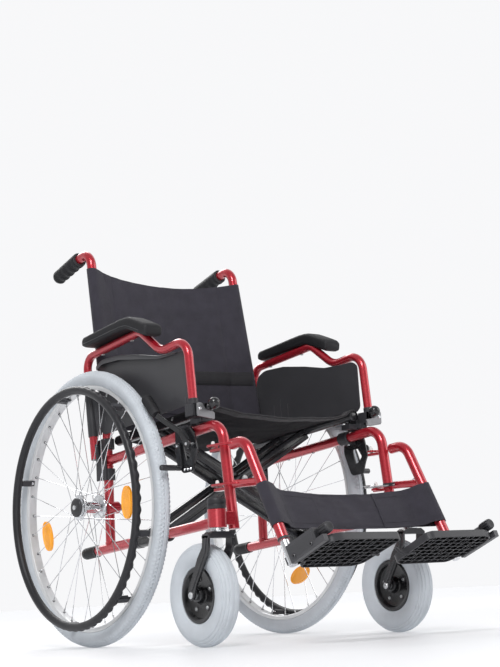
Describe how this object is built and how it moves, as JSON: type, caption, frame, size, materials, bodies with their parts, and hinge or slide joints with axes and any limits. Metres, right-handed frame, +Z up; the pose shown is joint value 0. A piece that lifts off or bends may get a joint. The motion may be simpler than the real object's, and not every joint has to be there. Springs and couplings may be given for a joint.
{
  "type": "wheelchair",
  "caption": "Folding manual wheelchair: red tube side frames on a scissor brace, large rear wheels with handrims, front casters, fabric sling seat and back, swing-away footrests.",
  "frame": {"origin": "on the floor at the middle of the chair's bounding box", "axes": "+Z is up, the chair faces -Y, and its own left side is +X"},
  "size_m": [0.6344, 1.0389, 0.9073],
  "materials": {
    "red_paint": "metallic cherry red, glossy",
    "black_paint": "satin black",
    "black_plastic": "fine-grained black nylon",
    "black_foam": "matt black, closed-cell",
    "grey_tyre": "blue-grey solid polyurethane",
    "silver": "bright, brushed",
    "black_fabric": "black woven nylon",
    "amber": "clear amber, prismatic"
  },
  "bodies": {
    "side_r": {"side_frame_r": "red_paint", "back_cane_r": "red_paint", "push_grip_r": "black_foam", "rail_cap_r": "black_plastic", "back_joint_r": "black_plastic", "arm_socket_r": "black_plastic", "brake_bracket_r": "black_paint", "back_sling": "black_fabric"},
    "side_l": {"side_frame_l": "red_paint", "back_cane_l": "red_paint", "push_grip_l": "black_foam", "rail_cap_l": "black_plastic", "back_joint_l": "black_plastic", "arm_socket_l": "black_plastic", "brake_bracket_l": "black_paint"},
    "cross_a": {"cross_brace_a": "black_paint", "cross_bolt": "silver", "seat_sling": "black_fabric"},
    "cross_b": {"cross_brace_b": "black_paint"},
    "wheel_l": {"rear_tyre_l": "grey_tyre", "rear_rim_l": "silver", "wheel_hub_l": "silver", "handrim_l": "black_plastic", "reflector_l": "amber"},
    "fork_l": {"caster_fork_l": "black_paint"},
    "caster_l": {"caster_tyre_l": "grey_tyre", "caster_rim_l": "black_plastic"},
    "arm_l": {"armrest_tube_l": "red_paint", "arm_pad_l": "black_foam", "side_panel_l": "black_plastic"},
    "knob_l": {"arm_knob_l": "black_plastic"},
    "brake_l": {"brake_lever_l": "black_paint"},
    "shoe_l": {"brake_shoe_l": "black_paint"},
    "hanger_l": {"hanger_l": "red_paint"},
    "release_l": {"release_lever_l": "silver"},
    "foot_l": {"foot_tube_l": "silver", "foot_bracket_l": "black_plastic"},
    "hinge_l": {"foot_hinge_l": "black_plastic"},
    "plate_l": {"footplate_l": "black_plastic"},
    "wheel_r": {"rear_tyre_r": "grey_tyre", "rear_rim_r": "silver", "wheel_hub_r": "silver", "handrim_r": "black_plastic", "reflector_r": "amber"},
    "fork_r": {"caster_fork_r": "black_paint"},
    "caster_r": {"caster_tyre_r": "grey_tyre", "caster_rim_r": "black_plastic"},
    "arm_r": {"armrest_tube_r": "red_paint", "arm_pad_r": "black_foam", "side_panel_r": "black_plastic"},
    "knob_r": {"arm_knob_r": "black_plastic"},
    "brake_r": {"brake_lever_r": "black_paint"},
    "shoe_r": {"brake_shoe_r": "black_paint"},
    "hanger_r": {"hanger_r": "red_paint", "calf_strap": "black_fabric"},
    "release_r": {"release_lever_r": "silver"},
    "foot_r": {"foot_tube_r": "silver", "foot_bracket_r": "black_plastic"},
    "hinge_r": {"foot_hinge_r": "black_plastic"},
    "plate_r": {"footplate_r": "black_plastic"}
  },
  "joints": [
    {"name": "fold", "type": "hinge", "parent": "side_r", "child": "cross_a", "pos_m": [-0.214, 0.05041, 0.22447], "axis": [0, -0.9971, 0.0767], "range_deg": [0, 45], "deforming": ["seat_sling", "back_sling", "calf_strap"]},
    {"name": "cross_pivot", "type": "hinge", "parent": "cross_a", "child": "cross_b", "pos_m": [0, 0.05946, 0.34212], "axis": [0, -0.9971, 0.0767], "range_deg": [-90, 0]},
    {"name": "side_l_hinge", "type": "hinge", "parent": "cross_b", "child": "side_l", "pos_m": [0.214, 0.05041, 0.22447], "axis": [0, -0.9971, 0.0767], "range_deg": [0, 45]},
    {"name": "rear_wheel_l", "type": "hinge", "parent": "side_l", "child": "wheel_l", "pos_m": [0.265, 0.21891, 0.3], "axis": [1, 0, 0], "continuous": true},
    {"name": "caster_swivel_l", "type": "hinge", "parent": "side_l", "child": "fork_l", "pos_m": [0.257, -0.23809, 0.1], "axis": [0, 0, 1], "continuous": true},
    {"name": "caster_wheel_l", "type": "hinge", "parent": "fork_l", "child": "caster_l", "pos_m": [0.257, -0.18409, 0.1], "axis": [1, 0, 0], "continuous": true},
    {"name": "armrest_l", "type": "hinge", "parent": "side_l", "child": "arm_l", "pos_m": [0.239, 0.23541, 0.42], "axis": [-1, 0, 0], "range_deg": [0, 75]},
    {"name": "arm_lock_l", "type": "hinge", "parent": "side_l", "child": "knob_l", "pos_m": [0.2225, -0.17259, 0.4715], "axis": [0, 1, 0], "range_deg": [0, 30]},
    {"name": "brake_lever_l", "type": "hinge", "parent": "side_l", "child": "brake_l", "pos_m": [0.2415, -0.12809, 0.402], "axis": [1, 0, 0], "range_deg": [0, 42]},
    {"name": "brake_shoe_l", "type": "hinge", "parent": "side_l", "child": "shoe_l", "pos_m": [0.236, -0.08409, 0.402], "axis": [1, 0, 0], "range_deg": [0, 9.03]},
    {"name": "hanger_swing_l", "type": "hinge", "parent": "side_l", "child": "hanger_l", "pos_m": [0.214, -0.18652, 0.3115], "axis": [0, 0.1143, 0.9934], "range_deg": [0, 90]},
    {"name": "hanger_release_l", "type": "hinge", "parent": "side_l", "child": "release_l", "pos_m": [0.1955, -0.20209, 0.312], "axis": [0, 0, -1], "range_deg": [0, 15]},
    {"name": "foot_slide_l", "type": "slide", "parent": "hanger_l", "child": "foot_l", "axis": [0, -0.4595, -0.8882], "range_m": [-0.015, 0.06]},
    {"name": "foot_lift_l", "type": "hinge", "parent": "foot_l", "child": "hinge_l", "pos_m": [0.2105, -0.43169, 0.1795], "axis": [0, 0.9336, -0.3584], "range_deg": [0, 90]},
    {"name": "foot_flip_l", "type": "hinge", "parent": "hinge_l", "child": "plate_l", "pos_m": [0.2105, -0.43169, 0.1795], "axis": [0, -0.9336, 0.3584], "range_deg": [-90, 0]},
    {"name": "rear_wheel_r", "type": "hinge", "parent": "side_r", "child": "wheel_r", "pos_m": [-0.265, 0.21891, 0.3], "axis": [1, 0, 0], "continuous": true},
    {"name": "caster_swivel_r", "type": "hinge", "parent": "side_r", "child": "fork_r", "pos_m": [-0.257, -0.23809, 0.1], "axis": [0, 0, 1], "continuous": true},
    {"name": "caster_wheel_r", "type": "hinge", "parent": "fork_r", "child": "caster_r", "pos_m": [-0.257, -0.18409, 0.1], "axis": [1, 0, 0], "continuous": true},
    {"name": "armrest_r", "type": "hinge", "parent": "side_r", "child": "arm_r", "pos_m": [-0.239, 0.23541, 0.42], "axis": [-1, 0, 0], "range_deg": [0, 75]},
    {"name": "arm_lock_r", "type": "hinge", "parent": "side_r", "child": "knob_r", "pos_m": [-0.2225, -0.17259, 0.4715], "axis": [0, -1, 0], "range_deg": [0, 30]},
    {"name": "brake_lever_r", "type": "hinge", "parent": "side_r", "child": "brake_r", "pos_m": [-0.2415, -0.12809, 0.402], "axis": [1, 0, 0], "range_deg": [0, 42]},
    {"name": "brake_shoe_r", "type": "hinge", "parent": "side_r", "child": "shoe_r", "pos_m": [-0.236, -0.08409, 0.402], "axis": [1, 0, 0], "range_deg": [0, 9.03]},
    {"name": "hanger_swing_r", "type": "hinge", "parent": "side_r", "child": "hanger_r", "pos_m": [-0.214, -0.18652, 0.3115], "axis": [0, -0.1143, -0.9934], "range_deg": [0, 90]},
    {"name": "hanger_release_r", "type": "hinge", "parent": "side_r", "child": "release_r", "pos_m": [-0.1955, -0.20209, 0.312], "axis": [0, 0, 1], "range_deg": [0, 15]},
    {"name": "foot_slide_r", "type": "slide", "parent": "hanger_r", "child": "foot_r", "axis": [0, -0.4595, -0.8882], "range_m": [-0.015, 0.06]},
    {"name": "foot_lift_r", "type": "hinge", "parent": "foot_r", "child": "hinge_r", "pos_m": [-0.2105, -0.43169, 0.1795], "axis": [0, -0.9336, 0.3584], "range_deg": [0, 90]},
    {"name": "foot_flip_r", "type": "hinge", "parent": "hinge_r", "child": "plate_r", "pos_m": [-0.2105, -0.43169, 0.1795], "axis": [0, 0.9336, -0.3584], "range_deg": [-90, 0]}
  ],
  "couplings": [
    {"joint": "cross_pivot", "follows": "fold", "ratio": -2},
    {"joint": "side_l_hinge", "follows": "fold", "ratio": 1},
    {"joint": "brake_shoe_l", "follows": "brake_lever_l", "ratio": 0.215},
    {"joint": "foot_lift_l", "follows": "fold", "ratio": 2},
    {"joint": "brake_shoe_r", "follows": "brake_lever_r", "ratio": 0.215},
    {"joint": "foot_lift_r", "follows": "fold", "ratio": 2}
  ]
}
